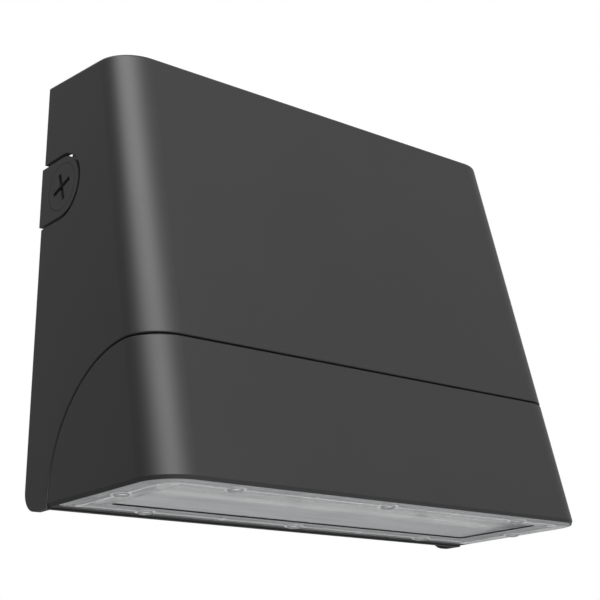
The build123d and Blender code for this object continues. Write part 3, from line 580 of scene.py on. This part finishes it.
def makeChips():
    inputs = {"Shell": "Object", "Dome": "Object"}
    inputs.update({"Shell Finish": "Material", "Dome Finish": "Material", "Centre": "Vector"})
    inputs.update({"Length": "Float", "Width": "Float", "Columns": "Int", "Rows": "Int"})
    pattern = Pattern("chipPattern", inputs)
    grid = pattern.node("GeometryNodeMeshGrid", None, {
        "Size X": pattern.into("Length"), "Size Y": pattern.into("Width"),
        "Vertices X": pattern.into("Columns"), "Vertices Y": pattern.into("Rows")}, "Mesh")
    grid = pattern.node("GeometryNodeTransform", None,
                        {"Geometry": grid, "Translation": pattern.into("Centre")})
    joined = pattern.tree.nodes.new("GeometryNodeJoinGeometry")
    for label in ("Shell", "Dome"):
        source = pattern.node("GeometryNodeObjectInfo", None,
                              {"Object": pattern.into(label)}, "Geometry")
        placed = pattern.node("GeometryNodeInstanceOnPoints", None,
                              {"Points": grid, "Instance": source})
        solid = pattern.node("GeometryNodeRealizeInstances", None, {0: placed})
        dressed = pattern.node("GeometryNodeSetMaterial", None,
                               {"Geometry": solid, "Material": pattern.into(label + " Finish")})
        pattern.tree.links.new(dressed, joined.inputs[0])
    pattern.close(joined.outputs[0])
    shell, dome = makeChipSources()
    for side in ("left", "right"):
        low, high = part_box("led_chips_" + side)
        centre = (low + high) / 2
        chips = pattern.grow("ledChips" + side.capitalize(), {
            "Shell": shell, "Dome": dome,
            "Shell Finish": chipFrameFinish, "Dome Finish": finishes["chip_yellow"],
            "Length": high.x - low.x - chipSetting["size"],
            "Width": high.y - low.y - chipSetting["size"],
            "Columns": chipSetting["columns"], "Rows": chipSetting["rows"],
            "Centre": (centre.x, centre.y, high.z)})
        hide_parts("led_chips_" + side)
        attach(chips, "housing")
    for piece in (shell, dome):
        bpy.data.objects.remove(piece)


makeChips()
print("emitters made")


# floor, light and camera

studio = {
    "floorHeight": -0.75,
    "floorSize": 12.0,
    "floorColour": (0.80, 0.80, 0.80),
    "fill": 0.20,             # the surroundings' light on the object
}
lamps = {                     # azimuth and elevation as seen from the object, in degrees
    "keyLamp": {"azimuth": -8, "elevation": 28, "distance": 2.2, "size": (1.0, 1.0), "watts": 30.0},
    "backLamp": {"azimuth": 200, "elevation": 42, "distance": 2.0, "size": (1.0, 1.0), "watts": 9.0},
    "lowLamp": {"azimuth": 30, "elevation": -78, "distance": 0.55, "size": (0.5, 0.5), "watts": 0.55},
    "cornerLamp": {"azimuth": 44, "elevation": 36, "distance": 1.5, "size": (0.85, 2.4), "watts": 270.0,
                   "roll": 52},
}
glossOnly = ("cornerLamp",)   # a lamp that only makes the soft line on the corner

viewpoint = {
    "focalLength": 82.86,     # mm
    "sensorWidth": 36.0,      # mm
    "azimuth": 40.04,
    "elevation": -17.70,
    "roll": -1.606,
    "place": (-0.39826, -0.51526, -0.20788),
}


def outward(azimuth, elevation):
    turn, rise = radians(azimuth), radians(elevation)
    return Vector((-sin(turn) * cos(rise), -cos(turn) * cos(rise), sin(rise)))


def makeFloor():
    half = studio["floorSize"] / 2
    mesh = bpy.data.meshes.new("studioFloor")
    corners = [(-half, -half), (half, -half), (half, half), (-half, half)]
    mesh.from_pydata([(x, y, studio["floorHeight"]) for x, y in corners], [], [(0, 1, 2, 3)])
    floor = bpy.data.objects.new("studioFloor", mesh)
    bpy.context.collection.objects.link(floor)
    paint = Paint("floorPaint")
    grain = paint.noise(30.0, 2.0)
    pale = studio["floorColour"]
    dull = tuple(part * 0.97 for part in pale)
    mesh.materials.append(paint.finish(Base_Color=paint.tone(pale, dull, grain), Roughness=0.8))


def makeWorld():
    world = bpy.data.worlds.new("studioWorld")
    bpy.context.scene.world = world
    paint = Paint("studioWorld", world)
    seen = paint.node("ShaderNodeLightPath", output="Is Camera Ray")
    for name in ("Is Glossy Ray", "Is Transmission Ray"):
        seen = seen.largest(paint.node("ShaderNodeLightPath", output=name))
    level = seen * (1 - studio["fill"]) + studio["fill"]
    sky = paint.node("ShaderNodeBackground", None, {"Color": (1, 1, 1, 1), "Strength": level})
    paint.node("ShaderNodeOutputWorld", None, {"Surface": sky})


def makeLamps():
    low, high = cadBounds
    middle = (low + high) / 2
    for name, setting in lamps.items():
        light = bpy.data.lights.new(name, "AREA")
        light.shape = "RECTANGLE"
        light.size, light.size_y = setting["size"]
        light.energy = setting["watts"]
        lamp = bpy.data.objects.new(name, light)
        bpy.context.collection.objects.link(lamp)
        lamp.visible_camera = False
        lamp.visible_diffuse = name not in glossOnly
        away = outward(setting["azimuth"], setting["elevation"])
        lamp.location = middle + away * setting["distance"]
        lamp.rotation_mode = "QUATERNION"
        level = (-away).to_track_quat("-Z", "Y")
        lamp.rotation_quaternion = level @ Quaternion((0, 0, 1), radians(setting.get("roll", 0)))


def makeCamera():
    data = bpy.data.cameras.new("photoCamera")
    data.lens = viewpoint["focalLength"]
    data.sensor_width = viewpoint["sensorWidth"]
    camera = bpy.data.objects.new("photoCamera", data)
    bpy.context.collection.objects.link(camera)
    away = outward(viewpoint["azimuth"], viewpoint["elevation"])
    camera.location = viewpoint["place"]
    camera.rotation_mode = "QUATERNION"
    level = (-away).to_track_quat("-Z", "Y")
    camera.rotation_quaternion = level @ Quaternion((0, 0, 1), radians(viewpoint["roll"]))
    bpy.context.scene.camera = camera


makeFloor()
makeWorld()
makeLamps()
makeCamera()
bpy.context.scene.view_settings.view_transform = "Standard"
print("floor, light and camera are set")
